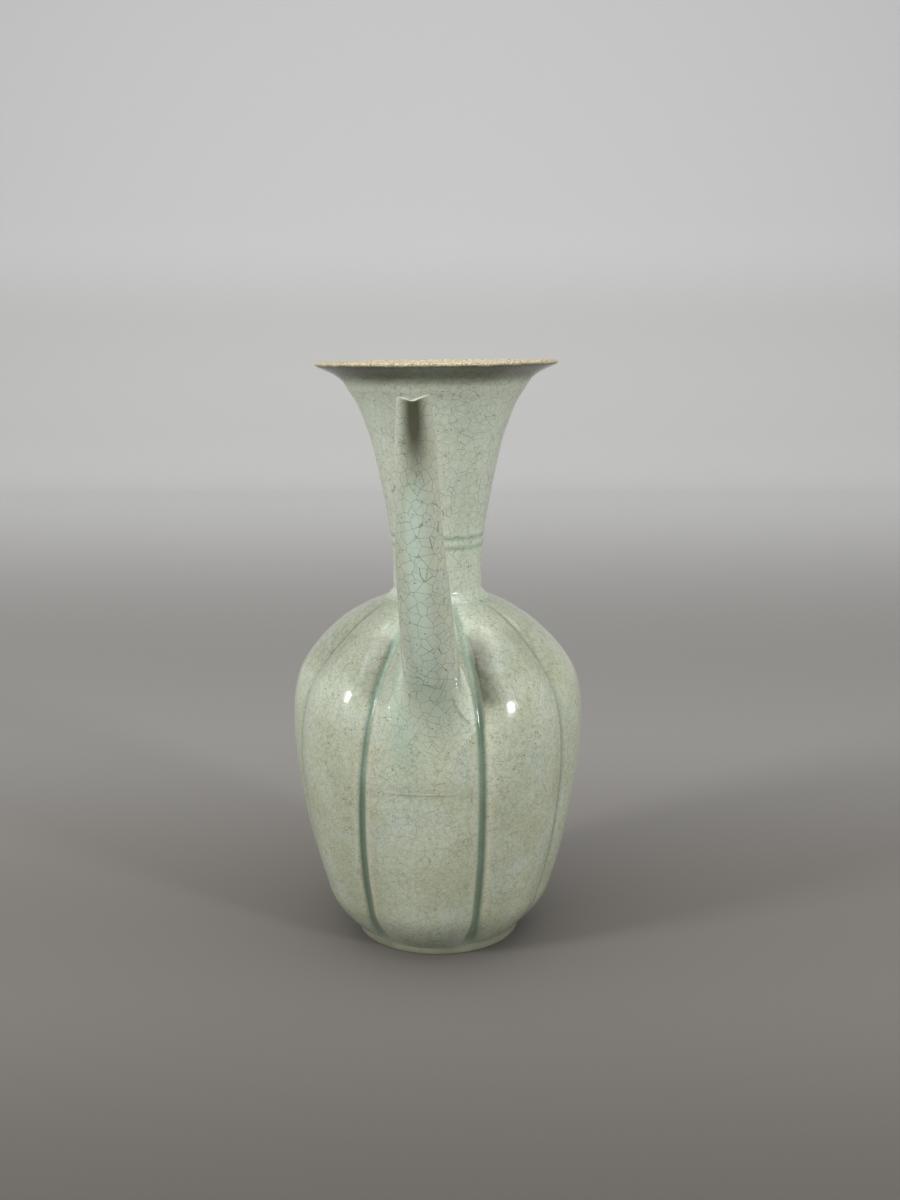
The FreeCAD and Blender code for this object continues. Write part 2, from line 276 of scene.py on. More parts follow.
def belly_radius(azimuth, z):
    """The glazed outside of the lobes, with a channel between each two."""
    share = belly_share(z)
    fill = SIDE_FILL + (GLAZE_FILL - SIDE_FILL) * front_share(azimuth)
    crest, depth = belly_profile(share), (1 - fill) * np.maximum(belly_depth(share), 0)
    left, right = groove_places(azimuth, z)
    half = np.radians((left + right) / 2)
    turn = np.radians(left) - half
    edge = crest - depth * LOBE_SWELL
    opening = GROOVE_WIDTH / 2 * (1 + 0.8 * fall(z, 24, 18))
    reach = half - np.arcsin(opening / crest)
    centre = (crest ** 2 - edge ** 2) / (2 * (crest - edge * np.cos(reach)))
    lobe_arc = crest - centre
    lobe = centre * np.cos(turn) + np.sqrt(np.maximum(lobe_arc ** 2 - (centre * np.sin(turn)) ** 2, 1))
    away = np.radians(np.minimum(left, right)) * crest
    channel = crest - depth + depth * (1 - LOBE_SWELL) * (away / opening) ** 2
    soft = 0.6 * depth + 1e-4
    blend = np.clip(0.5 + 0.5 * (channel - lobe) / soft, 0, 1)
    radius = channel * (1 - blend) + lobe * blend - soft * blend * (1 - blend)
    from_spout = turn_from(azimuth, SPOUT_LOBE)
    spread = np.minimum(VALLEY_WIDTH, 0.2 * 2 * half * crest)
    radius = radius - valley_depth(z) * (0.62 + 0.38 * hump(from_spout, 40)) * hump(away, spread)
    fold = SEAM_FOLD * (hump(z - SEAM_HEIGHT - 5, 4) - hump(z - SEAM_HEIGHT + 2, 3.5))
    radius = radius + fold * hump(from_spout, 20)
    angle = np.radians(azimuth)
    wobble = np.sin(3 * angle + z / 31 + 1.3) * np.sin(z / 23 + 0.7) + np.sin(7 * angle - z / 17)
    return radius - (BELLY_DROP + BELLY_WAVE * (2 + wobble)) * rise(z, 8, 20) * fall(z, BELLY_TOP - 2, 12)


def on_belly(points):
    """The same points, moved level with the axis onto the lobes."""
    azimuth, z = azimuth_of(points), points[..., 2]
    return round_point(belly_radius(azimuth, z), azimuth, z)


def on_middle_lobe(points):
    """On the lobe that carries the spout, short of the grooves beside it."""
    z = points[..., 2]
    azimuth = SPOUT_LOBE + turn_from(azimuth_of(points), SPOUT_LOBE)
    lean = belly_share(z) - 0.5
    margin = np.degrees(SPOUT_MARGIN / belly_profile(belly_share(z)))
    azimuth = np.clip(azimuth, GROOVE_AZIMUTHS[1] + GROOVE_LEANS[1] * lean + margin,
                      GROOVE_AZIMUTHS[2] + GROOVE_LEANS[2] * lean - margin)
    return round_point(belly_radius(azimuth, z), azimuth, z)


def belly_gap(points):
    """How far outside the belly the points are."""
    azimuth, z = azimuth_of(points), points[..., 2]
    return np.hypot(points[..., 0], points[..., 1]) - belly_radius(azimuth, z)


def neck_radius_at(z):
    """The neck's outside, with its two pressed lines."""
    radius = neck_profile(np.clip((z - NECK_BASE) / NECK_HEIGHT, 0, 1))
    for height in STRING_HEIGHTS:
        radius = radius - STRING_DEPTH * hump(z - height, 1.1) + 0.06 * hump(z - height - 1.9, 0.9)
    return radius


def on_neck(points):
    """The same points, moved level with the axis onto the neck."""
    azimuth, z = azimuth_of(points), points[..., 2]
    return round_point(neck_radius_at(z), azimuth, z)


def neck_gap(points):
    """How far outside the neck the points are."""
    return np.hypot(points[..., 0], points[..., 1]) - neck_radius_at(points[..., 2])


# Meshes

class Stack:
    """Rings in order over a piece, with their masks and the rings where it turns sharply."""

    def __init__(self):
        self.rings, self.creases = [], []
        self.masks = {key: [] for key in MASKS}

    def add(self, ring, crease=False, **masks):
        if crease:
            self.creases.append(len(self.rings))
        self.rings.append(ring)
        for key in MASKS:
            self.masks[key].append(np.broadcast_to(masks.get(key, 0.0), (len(ring),)))


def linked(name, data):
    """An object in the scene, with this mesh, lamp or camera."""
    thing = bpy.data.objects.new(name, data)
    bpy.context.scene.collection.objects.link(thing)
    return thing


def skin(stack, name, slot, node, fans=False):
    """A closed solid over a stack: its last ring meets its first, or a fan closes each of them."""
    rings = np.array(stack.rings)
    count, around = rings.shape[:2]
    points = rings.reshape(-1, 3)
    here = np.arange(count * around).reshape(count, around)
    last = count - 1 if fans else count
    after = np.roll(here, -1, axis=0)[:last]
    near, far = here[:last], np.roll(here, -1, axis=1)[:last]
    faces = np.stack([near, far, np.roll(after, -1, axis=1), after], -1).reshape(-1, 4).tolist()
    values = {key: np.array(rows).reshape(-1) for key, rows in stack.masks.items()}
    if fans:
        for ring, flip in ((0, True), (count - 1, False)):
            hub = len(points)
            points = np.vstack([points, rings[ring].mean(0)])
            edge = here[ring]
            pairs = zip(np.roll(edge, -1), edge) if flip else zip(edge, np.roll(edge, -1))
            faces += [[int(a), int(b), hub] for a, b in pairs]
            values = {key: np.append(value, value[edge[0]]) for key, value in values.items()}
    mesh = bpy.data.meshes.new(name)
    mesh.from_pydata((points * MM).tolist(), [], faces)
    for key, value in values.items():
        mesh.attributes.new(key, "FLOAT", "POINT").data.foreach_set("value", value.astype(np.float32))
    shell = bmesh.new()
    shell.from_mesh(mesh)
    bmesh.ops.recalc_face_normals(shell, faces=shell.faces)
    shell.to_mesh(mesh)
    shell.free()
    mesh.shade_smooth()
    ends = np.zeros(len(mesh.edges) * 2, int)
    mesh.edges.foreach_get("vertices", ends)
    ends = (ends // around).reshape(-1, 2)
    sharp = (ends[:, 0] == ends[:, 1]) & np.isin(ends[:, 0], stack.creases)
    mesh.attributes.new("sharp_edge", "BOOLEAN", "EDGE").data.foreach_set("value", sharp)
    mesh.materials.append(finishes[slot])
    piece = linked(name, mesh)
    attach(piece, "root")
    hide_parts(node)


# Finishes

def tint(red, green, blue):
    """A colour written as it looks, 0 to 255, as the linear values that a node takes."""
    return tuple(((c / 255 + 0.055) / 1.055) ** 2.4 for c in (red, green, blue)) + (1,)


class Value:
    """One output in a finish. Sums and products of values add their Math nodes."""

    def __init__(self, finish, socket):
        self.finish, self.socket = finish, socket

    def maths(self, operation, first, second=0.0):
        return self.finish.add("ShaderNodeMath", {"operation": operation}, {0: first, 1: second})

    def __add__(self, other):
        return self.maths("ADD", self, other)

    def __sub__(self, other):
        return self.maths("SUBTRACT", self, other)

    def __rsub__(self, other):
        return self.maths("SUBTRACT", other, self)

    def __mul__(self, other):
        return self.maths("MULTIPLY", self, other)

    __radd__ = __add__
    __rmul__ = __mul__

    def line(self, width):
        """1 at an edge, 0 from this many millimetres on."""
        return 1 - self.between(0.2 * width, width)

    def limited(self):
        """The value, kept from 0 to 1."""
        return self.finish.add("ShaderNodeClamp", {}, {"Value": self})

    def between(self, low, high):
        """0 up to the low value and 1 from the high one, with a soft rise."""
        return self.finish.add("ShaderNodeMapRange", {"interpolation_type": "SMOOTHSTEP"},
                               {"Value": self, "From Min": low, "From Max": high})


class Finish:
    """A material and the nodes that it is made of."""

    def __init__(self, name):
        self.material = bpy.data.materials.new(name)
        self.material.use_nodes = True
        self.nodes = self.material.node_tree.nodes
        self.links = self.material.node_tree.links
        self.nodes.clear()
        self.place = self.add("ShaderNodeTexCoord", {}, {}, "Object")

    def add(self, kind, settings, sockets, output=0):
        """A node of this type: its settings first, then the values or links of its sockets."""
        node = self.nodes.new(kind)
        for key, value in settings.items():
            setattr(node, key, value)
        for key, value in sockets.items():
            if isinstance(value, Value):
                self.links.new(value.socket, node.inputs[key])
            else:
                node.inputs[key].default_value = value
        return Value(self, node.outputs[output]) if node.outputs else None

    def mask(self, name):
        return self.add("ShaderNodeAttribute", {"attribute_name": name}, {}, "Fac")

    def noise(self, size, detail=2.0, rough=0.5, stretch=(1, 1, 1)):
        """Cloudy variation with patches of this size in millimetres, mostly from 0.3 to 0.7."""
        place = self.place
        if stretch != (1, 1, 1):
            place = self.add("ShaderNodeVectorMath", {"operation": "MULTIPLY"}, {0: place, 1: stretch})
        return self.add("ShaderNodeTexNoise", {}, {
            "Vector": place, "Scale": 1 / (size * MM), "Detail": detail, "Roughness": rough})

    def mix(self, share, first, second):
        """The first colour, going over to the second by a share."""
        return self.add("ShaderNodeMix", {"data_type": "RGBA"}, {0: share, 6: first, 7: second}, 2)

    def bent(self, size, reach):
        """The place, pushed about by up to the reach in millimetres."""
        push = self.add("ShaderNodeTexNoise", {}, {
            "Vector": self.place, "Scale": 1 / (size * MM), "Detail": 2.0}, "Color")
        for operation, key, value in (("SUBTRACT", 1, (0.5, 0.5, 0.5)), ("SCALE", "Scale", reach * MM)):
            push = self.add("ShaderNodeVectorMath", {"operation": operation}, {0: push, key: value})
        return self.add("ShaderNodeVectorMath", {"operation": "ADD"}, {0: self.place, 1: push})

    def cells(self, place, size, feature="F1", output=0):
        """Noise in cells of this size in millimetres."""
        return self.add("ShaderNodeTexVoronoi", {"feature": feature}, {
            "Vector": place, "Scale": 1 / (size * MM), "Randomness": 1.0}, output)

    def cracks(self, place, size):
        """The distance to the edge of a flake of this size, both in millimetres."""
        return size * self.cells(place, size, "DISTANCE_TO_EDGE")

    def made(self, colour, roughness, ior=1.5, **sockets):
        """The material, with its surface joined to its output."""
        surface = self.add("ShaderNodeBsdfPrincipled", {}, {
            "Base Color": colour, "Roughness": roughness, "IOR": ior, **sockets})
        self.add("ShaderNodeOutputMaterial", {}, {"Surface": surface})
        return self.material


def crackle(finish, coarse):
    """Where the glaze is cracked, a tone for each large flake, and where the small cracks show."""
    bent = finish.bent(9, 0.9)
    wide = finish.cracks(bent, WIDE_FLAKE)
    middle = finish.cracks(finish.bent(6, 0.9), MIDDLE_FLAKE)
    fine = finish.cracks(finish.bent(5, 0.8), FINE_FLAKE)
    fade = finish.noise(6).between(0.36, 0.60)
    bold = wide.line(0.12) + middle.line(0.09) * 0.6 * fade
    faint = wide.line(0.11) * 0.42 + middle.line(0.10) * 0.45
    faint = faint + fine.line(0.09) * (0.15 + 0.45 * fade)
    crack = (bold * coarse + faint * (1 - coarse)).limited()
    # The product turns each cell's colour into one number
    tone = 1.0 * finish.cells(bent, WIDE_FLAKE, output="Color")
    return crack, tone, fade


def glaze_finish(name):
    """Pale celadon over a grey body: crackled, pooled in the channels, thin and warm on edges, with painted
    light and painted shade.
    """
    finish = Finish(name)
    pool, pale, thin, dusk, coarse, bare = (finish.mask(key) for key in MASKS)
    clouds = finish.noise(26, 3.0).between(0.36, 0.66)
    patches = finish.noise(14, 3.0, 0.6, (1, 1, 0.7)).between(0.48, 0.68)
    mottle = finish.noise(2.2, 3.0, 0.65).between(0.38, 0.66)
    grain = finish.noise(0.5, 2.0, 0.6)
    grit = finish.noise(0.55, 3.0, 0.7)
    speck = (1 - finish.cells(finish.place, 2.6).between(0.07, 0.17)) * finish.noise(6).between(0.42, 0.56)
    crack, tone, fade = crackle(finish, coarse)

    colour = finish.mix(clouds, tint(171, 177, 158), tint(160, 164, 140))
    for share, layer in (
        (patches * 0.45, tint(170, 180, 174)),
        (tone * coarse * 0.6, tint(158, 168, 156)),
        # Painted light: a paler colour where the lamps would light the glaze most
        (pale * (0.76 + 0.24 * clouds), tint(194, 201, 184)),
        (mottle * (0.34 - 0.20 * coarse - 0.10 * pale), tint(140, 142, 112)),
        (grain.between(0.45, 0.72) * 0.26, tint(192, 196, 176)),
        (thin * (0.25 + 0.5 * grain), finish.mix(coarse, tint(194, 182, 160), tint(174, 170, 150))),
        ((pool * 2.2).limited(), finish.mix(coarse, tint(142, 157, 139), tint(160, 180, 165))),
        ((pool * (0.9 + 0.3 * clouds)).between(0.42, 1.0), tint(103, 119, 100)),
        # Painted shade: a dark olive where the glaze lies in shade
        ((dusk * (0.74 + 0.2 * mottle * (1 - coarse))).limited(), tint(79, 80, 64)),
        (crack * 0.62, finish.mix(fade * (1 - coarse), tint(78, 88, 68), tint(98, 92, 66))),
        (speck * 0.8, tint(104, 90, 58)),
        (bare, finish.mix(grit.between(0.38, 0.62), tint(112, 96, 64), tint(206, 194, 164))),
    ):
        colour = finish.mix(share, colour, layer)

    height = 0.3 * finish.noise(5) + 0.14 * grain + 0.14 * mottle - 0.12 * crack - 0.3 * speck
    height = height + 0.12 * tone * coarse + bare * grit * 1.2
    bump = finish.add("ShaderNodeBump", {}, {"Strength": 0.5, "Distance": 0.12 * MM, "Height": height})
    return finish.made(colour, 0.07 + 0.07 * mottle + 0.08 * crack + 0.5 * bare, Normal=bump)


def clay_finish(name):
    """The turned foot: thin glaze over a gritty body, bare where it stands, its glaze painted darker as shade
    by the floor.
    """
    finish = Finish(name)
    bare, thin = finish.mask("bare"), finish.mask("thin")
    clouds = finish.noise(9, 3.0).between(0.35, 0.65)
    grit = finish.noise(0.6, 3.0, 0.7)
    # Painted shade: the foot's glaze is darker than the same glaze on the belly
    shaded_glaze = finish.mix(clouds, tint(124, 128, 110), tint(112, 114, 95))
    shaded_glaze = finish.mix(thin * 0.6, shaded_glaze, tint(104, 100, 80))
    clay = finish.mix(grit.between(0.35, 0.65), tint(150, 132, 98), tint(190, 174, 142))
    turning = finish.noise(3.0, 2.0, 0.5, (0.08, 0.08, 2.0))
    bump = finish.add("ShaderNodeBump", {}, {
        "Strength": 0.5, "Distance": 0.15 * MM, "Height": bare * grit + 0.4 * turning})
    return finish.made(finish.mix(bare, shaded_glaze, clay), 0.24 + 0.5 * bare + 0.1 * clouds, Normal=bump)


finishes = {
    "glaze": glaze_finish("celadon_glaze"),
    "glazed_slip": glaze_finish("celadon_over_slip"),
    "bare_foot": clay_finish("turned_clay"),
}


# Foot and belly

ROUND = 240
ROUND_AZIMUTHS = np.linspace(0, 360, ROUND, endpoint=False)
LOBE_COLUMNS = 24


def turned(radius, z):
    """A ring round the axis."""
    return round_point(radius, ROUND_AZIMUTHS, z)


def make_foot():
    """The foot ring, rounded to a bare clay edge that it stands on."""
    rows = [(FOOT_RADIUS - FOOT_WIDTH + out, z, bare) for out, z, bare in FOOT_INSIDE_ROWS]
    rows += [(FOOT_RADIUS - back, z, bare) for back, z, bare in FOOT_OUTSIDE_ROWS]
    stack = Stack()
    for thin, (radius, z, bare) in zip(np.linspace(0, 0.3, len(rows)), rows):
        stack.add(turned(radius, z), bare=bare, thin=thin, crease=thin in (0, 0.3))
    skin(stack, "turned_foot", "bare_foot", "foot_ring")


def belly_azimuths(z):
    """Columns that follow the grooves, close together in and beside each one."""
    lines = GROOVE_AZIMUTHS + GROOVE_LEANS * (belly_share(z) - 0.5)
    lines = np.append(lines, lines[0] + 360)
    near = 0.5 * np.linspace(0, 1, LOBE_COLUMNS + 1) ** 1.7
    shares = np.concatenate([near[:-1], 1 - near[:0:-1]])
    return np.concatenate([a + (b - a) * shares for a, b in zip(lines, lines[1:])])


def belly_ring(z, inset=0.0, drop=0.0, keep=1.0):
    """One ring of the belly. An inner ring is inset from the crest and keeps part of the grooves."""
    azimuths = belly_azimuths(z)
    radius = belly_radius(azimuths, np.full_like(azimuths, z))
    crest = belly_profile(belly_share(z))
    radius = crest - (crest - radius) * keep - inset
    return round_point(radius, azimuths, z - drop)


def coarse_share(azimuth, z):
    """How far the crackle opens out round the spout's root."""
    return 0.62 * hump(turn_from(azimuth, SPOUT_LOBE - 2), 20) * rise(z, 84, 34)


def lobe_band(azimuth, z):
    """The thicker glaze that ran down the left of the middle lobe from the spout's root."""
    middle = -13 - 0.10 * (z - 110)
    return 0.34 * hump(turn_from(azimuth, 0) - middle, 6.0) * hump(z - 106, 24)


class Belt:
    """The columns of one ring of the belly: their turns and how far away the grooves are."""

    def __init__(self, z):
        self.z = z
        self.azimuth = belly_azimuths(z)
        left, right = groove_places(self.azimuth, np.full_like(self.azimuth, z))
        crest = belly_profile(belly_share(z))
        self.to_left, self.to_right = np.radians(left) * crest, np.radians(right) * crest
        self.near = np.minimum(self.to_left, self.to_right)
        self.turn = turn_from(self.azimuth, 0)
        self.from_spout = self.turn - SPOUT_LOBE
        self.front = front_share(self.azimuth)
        self.off_middle = np.where((self.turn > -36) & (self.turn < 19), 0.22, 1.0)
        wide = 1 + 0.9 * fall(z, 22, 16)
        self.channel = fall(self.near, 2.7 * wide, 1.9 * wide) * rise(z, 1, 10)


def pooled(belt):
    """Thick glaze: in the channels, at the neck's root and in a run from the spout's root."""
    depth = float(np.clip(belly_depth(belly_share(belt.z)) / GROOVE_DEPTH, 0, 1))
    pool = (0.75 + 0.2 * depth) * belt.channel * (0.22 + 0.78 * belt.front)
    pool = pool * (1 - 0.48 * rise(belt.z, 92, 44))
    pool = pool * (1 - 0.3 * hump(belt.z - 98, 16) * fall(belt.turn, -8, 6))
    pool = np.maximum(pool, 0.16 * rise(belt.z, BELLY_TOP - 2.4, 2.4))
    return np.maximum(pool, lobe_band(belt.azimuth, belt.z))


def shade_painted(belt):
    """Painted shade, a darker and browner colour, named place by place."""
    z, near, turn = belt.z, belt.near, belt.turn
    # Painted shadow of the spout on the lobes beside its root
    beside_spout = rise(z, 112, 5) * fall(z, 141, 7) * hump(belt.from_spout, 38) * belt.off_middle
    beside_spout = 1.45 * fall(near, 13, 9.5) * rise(near, 0.7, 0.9) * beside_spout
    # Painted shade in the channels away from the front
    far_channels = 0.42 * (1 - belt.front) * hump(near, 0.8) * fall(z, 150, 10)
    # Painted shade on the shoulders away from the spout, deeper on the left
    shoulders = np.where(turn < SPOUT_LOBE, 0.36, 0.16) * (1 - hump(belt.from_spout, 34))
    shoulders = shoulders * rise(z, 116, 12) * fall(z, 150, 5)
    # Painted shade low on the belly, darker towards the bottom
    low = (0.23 + 0.16 * hump(turn, 20)) * fall(z, 28, 20)
    # Painted shade on the right, below the shoulder
    low_right = 0.07 * rise(turn, 17, 8) * fall(z, 112, 20)
    # Painted shade along the dip at the seam on the middle lobe
    seam = 0.24 * hump(z - SEAM_HEIGHT + 0.6, 0.8) * hump(belt.from_spout, 16)
    dusk = beside_spout + far_channels + shoulders + low + low_right + seam
    # Painted shade in the two front channels, fading above the belly's middle
    return np.maximum(dusk, 0.22 * belt.channel * belt.front * fall(z, 100, 50))


def thinned(belt, dusk):
    """Thin, warm glaze on the edges of the lobes beside the front channels."""
    thin = 0.5 * hump(belt.to_right - 3.2, 0.9) + 0.9 * hump(belt.to_left - 3.3, 1.1)
    thin = thin * rise(belt.z, 10, 25) * fall(belt.z, 150, 25) * belt.front
    return thin * (1 - np.clip(dusk * 1.5, 0, 1))


def light_painted(belt, dusk):
    """Painted light, a paler colour, named place by place."""
    z, near = belt.z, belt.near
    # Painted light on the top of the shoulder, strongest a little right of the front
    top = rise(z, 136, 6) * (0.1 + 0.9 * hump(belt.turn - 8, 44))
    # Painted light on the lobes' bulges beside the front grooves
    bulge = 0.6 * hump(z - 98, 15) * fall(near, 13, 9) * belt.front * belt.off_middle
    # Painted light on the lobes' crowns, away from the grooves
    crown = 0.2 * rise(near, 3, 8) * hump(z - 100, 34)
    # Painted light on the lobe left of the spout
    left_of_spout = 0.5 * hump(belt.turn + 12, 13) * hump(z - 104, 26)
    pale = np.maximum(np.maximum(top, bulge), np.maximum(crown, left_of_spout))
    return pale * (1 - np.clip(dusk, 0, 1))


def belly_masks(z):
    belt = Belt(z)
    dusk = shade_painted(belt)
    return {"pool": pooled(belt), "pale": light_painted(belt, dusk), "thin": thinned(belt, dusk), "dusk": dusk,
            "coarse": coarse_share(belt.azimuth, z)}


def belly_steps(low, high, step):
    """Heights that are a step apart along the belly's outside."""
    z = np.linspace(low, high, 400)
    lengths = lengths_along(np.stack([belly_profile(belly_share(z)), z], -1))
    count = max(2, int(round(lengths[-1] / step)) + 1)
    shares = np.interp(np.linspace(0, lengths[-1], count), lengths, np.linspace(0, 1, len(z)))
    return low + (high - low) * shares


def wall_inset(z):
    """How far in, and down, the inner wall lies from the outer one."""
    slope = belly_profile(belly_share(z + 0.5)) - belly_profile(belly_share(z - 0.5))
    length = math.hypot(1, slope)
    return BELLY_WALL / length, BELLY_WALL * -slope / length


def flat_ring(like, radius, z):
    """A ring in line with another one's columns, at this radius and height."""
    return round_point(radius, azimuth_of(like), z)


def make_lower_belly():
    top = SEAM_HEIGHT - SLIP / 2
    first = belly_ring(FOOT_HEIGHT)
    stack = Stack()
    for radius in UNDERSIDE_RADII:
        ridge = 0.10 * math.cos(radius * 1.9) + 0.5 * max(0, 1 - (radius / 29) ** 2)
        lift = max(0, ridge) if radius < FOOT_RADIUS - FOOT_WIDTH - 0.1 else 0
        stack.add(flat_ring(first, radius, FOOT_HEIGHT + lift), bare=0.12 if radius < 28 else 0.6)
    steps = belly_steps(FOOT_HEIGHT, top, 1.0)
    for z in steps:
        stack.add(belly_ring(z), **belly_masks(z), crease=z in (steps[0], steps[-1]))
    steps = belly_steps(FOOT_HEIGHT + BELLY_FLOOR + 6, top, 3.0)[::-1]
    for z in steps:
        stack.add(belly_ring(z, wall_inset(z)[0], 0, INNER_GROOVE), crease=z == steps[0])
    floor = FOOT_HEIGHT + BELLY_FLOOR
    for radius, lift in FLOOR_ROWS:
        stack.add(flat_ring(first, radius, floor + lift))
    skin(stack, "lower_lobes", "glaze", "lower_belly", fans=True)


def make_upper_belly():
    low = SEAM_HEIGHT + SLIP / 2
    steps = belly_steps(low, BELLY_TOP, 1.0)
    stack = Stack()
    for z in steps:
        stack.add(belly_ring(z), **belly_masks(z), crease=z in (steps[0], steps[-1]))
    like = stack.rings[-1]
    stack.add(flat_ring(like, 18.5, BELLY_TOP))
    stack.add(flat_ring(like, BORE_RADIUS, BELLY_TOP), crease=True)
    stack.add(flat_ring(like, BORE_RADIUS, BELLY_TOP - 3.0))
    steps = belly_steps(low, BELLY_TOP - 2.0, 3.0)[::-1]
    for z in steps:
        inset, drop = wall_inset(z)
        height = min(z - drop, BELLY_TOP - 3.2) if z > 100 else z
        stack.add(belly_ring(z, inset, z - height, INNER_GROOVE), crease=z == steps[-1])
    skin(stack, "upper_lobes", "glaze", "upper_belly")


def make_seam():
    """The slip between the halves, a hair proud outside and a low band inside."""
    low, high = SEAM_HEIGHT - SLIP / 2, SEAM_HEIGHT + SLIP / 2
    steps = np.linspace(low, high, 5)
    stack = Stack()
    for z in steps:
        ring = belly_ring(z)
        middle = hump(turn_from(azimuth_of(ring), SPOUT_LOBE), 13)
        swell = 0.10 * math.sin(math.pi * (z - low) / SLIP) * middle[:, None]
        masks = belly_masks(z)
        masks["thin"] = np.maximum(masks["thin"], 0.35 * middle * (low < z < high))
        stack.add(ring + swell * straight_out(ring), **masks, crease=z in (low, high))
    for lift, inset in SEAM_BAND_ROWS:
        stack.add(belly_ring(SEAM_HEIGHT + lift, inset, 0, INNER_GROOVE), crease=inset == BELLY_WALL)
    skin(stack, "seam_slip", "glazed_slip", "belly_seam_slip")


# Neck

def warp(points):
    """The mouth dips a little to the left and waves slightly, as it came out of the kiln."""
    lift = rise(points[..., 2], RIM_HEIGHT - 60, 60)
    azimuth = np.radians(azimuth_of(points))
    drop = 0.55 * (1 - points[..., 0] / RIM_RADIUS) + 0.12 * (1 + np.sin(3 * azimuth + 0.8))
    moved = points.copy()
    moved[..., 2] -= lift * drop
    return moved


def neck_outside():
    """Radius and height pairs up the outside, closest together at the pressed lines."""
    starts, counts = zip(*NECK_STRETCHES)
    ends = starts[1:] + (NECK_HEIGHT,)
    heights = [np.linspace(low, high, count, endpoint=high == NECK_HEIGHT)
               for low, high, count in zip(starts, ends, counts)]
    heights = NECK_BASE + np.concatenate(heights)
    return list(zip(neck_radius_at(heights), heights))


def neck_inside():
    """Radius and height pairs down the inside, a wall's thickness from the outside."""
    pairs = []
    for height in np.linspace(NECK_HEIGHT - 0.6, 0, 60):
        share = height / NECK_HEIGHT
        slope = float(neck_profile(share + 0.004) - neck_profile(share - 0.004)) / (0.008 * NECK_HEIGHT)
        if height <= 8:
            slope = 0
        length = math.hypot(1, slope)
        thickness = NECK_WALL + (LIP_THICKNESS - NECK_WALL) * share
        radius = float(neck_profile(max(share, 0.06))) - thickness / length
        z = NECK_BASE + height + thickness * slope / length
        pairs.append((max(radius, BORE_RADIUS), min(z, RIM_HEIGHT + 1.3)))
    pairs[-1] = (BORE_RADIUS, NECK_BASE)
    return pairs


def outer_neck_masks(z):
    """Painted light over the neck, thicker glaze at the root and in the pressed lines, and painted shade
    under the rim.
    """
    pool = 0.14 * hump(z - NECK_BASE, 3.0)
    for height in STRING_HEIGHTS:
        pool += 0.32 * hump(z - height - 0.2, 1.2)
    # Painted light over the neck, more towards the top, none at the rim
    pale = (0.72 + 0.28 * rise(z, 190, 30)) * fall(z, RIM_HEIGHT - 2, 6)
    # Painted shade under the rim, deeper at the front
    dusk = 1.15 * rise(z, RIM_HEIGHT - 9.5, 7.5) * (0.72 + 0.28 * front_share(ROUND_AZIMUTHS))
    return {"pool": min(pool, 1), "pale": pale, "dusk": dusk, "coarse": 0.42}


def make_neck():
    outer, inner = neck_outside(), neck_inside()
    lip = [(RIM_RADIUS + out, RIM_HEIGHT + up) for out, up in LIP_ROWS]
    rng = np.random.default_rng(7)
    chips = np.convolve(rng.random(ROUND + 4), np.ones(3) / 3, "same")[2:-2]
    stack = Stack()
    for radius, z in outer:
        stack.add(warp(turned(radius, z)), **outer_neck_masks(z), crease=z == NECK_BASE)
    # Painted shade over the lip, for the shade under the rim, with clay worn bare along its top
    for radius, z in lip:
        worn = warp(turned(radius, z)) * np.stack([1 - 0.006 * chips, 1 - 0.006 * chips, np.ones(ROUND)], -1)
        stack.add(worn, bare=rise(z + 0.8 * (chips - 0.5), RIM_HEIGHT + 0.3, 0.5), dusk=1)
    for radius, z in inner:
        stack.add(warp(turned(radius, z)), bare=0.8 * rise(z, RIM_HEIGHT + 0.3, 1.0), crease=z == NECK_BASE)
    skin(stack, "trumpet_neck", "glaze", "neck")


def make_neck_slip():
    """A hollowed fillet outside, and a low bead where the slip was smoothed inside the bore."""
    profile = [
        (MOUTH_RADIUS, BELLY_TOP), (MOUTH_RADIUS - 0.5, BELLY_TOP + 0.4),
        (MOUTH_RADIUS - 0.9, BELLY_TOP + 0.8), (ROOT_RADIUS, NECK_BASE),
        (BORE_RADIUS, NECK_BASE), (BORE_RADIUS - 0.7, NECK_BASE - 0.3),
        (BORE_RADIUS - 0.95, BELLY_TOP + 0.6), (BORE_RADIUS - 0.7, BELLY_TOP + 0.3),
        (BORE_RADIUS, BELLY_TOP),
    ]
    stack = Stack()
    for radius, z in profile:
        # Painted light at the neck's root, with a little thick glaze
        stack.add(turned(radius, z), pool=0.15, pale=0.7, crease=z in (BELLY_TOP, NECK_BASE))
    skin(stack, "neck_root_slip", "glazed_slip", "neck_seam_slip")


# Spout and handle

class Line:
    """A smooth centre line with a value at each of its points, by length from its start."""

    def __init__(self, points, values):
        points = np.array(points, float)
        chords = lengths_along(points)
        rough = smooth_line(chords, np.column_stack([points, values]))
        self.close = rough(np.linspace(0, chords[-1], 1200))
        self.lengths = lengths_along(self.close[:, :3])
        self.length = self.lengths[-1]

    def at(self, length):
        return np.stack([np.interp(length, self.lengths, column) for column in self.close.T], -1)

    def frame(self, length):
        """The point, its value, and unit vectors along, to the right and outward."""
        here = self.at(length)
        along = unit(self.at(length + 0.6)[..., :3] - self.at(length - 0.6)[..., :3])
        side = unit([1.0, 0, 0] - along * along[..., :1])
        return here[..., :3], here[..., 3], along, side, np.cross(side, along)


spout_root_out = float(belly_profile(belly_share(SPOUT_ROOT)))
spout_line = Line(
    [(-SPOUT_LEAN * lean, -(spout_root_out + SPOUT_OVERHANG * out), SPOUT_ROOT + SPOUT_RISE * up)
     for out, up, lean, _ in SPOUT_ROWS],
    [SPOUT_TIP_RADIUS + (SPOUT_ROOT_RADIUS - SPOUT_TIP_RADIUS) * taper for *_, taper in SPOUT_ROWS])

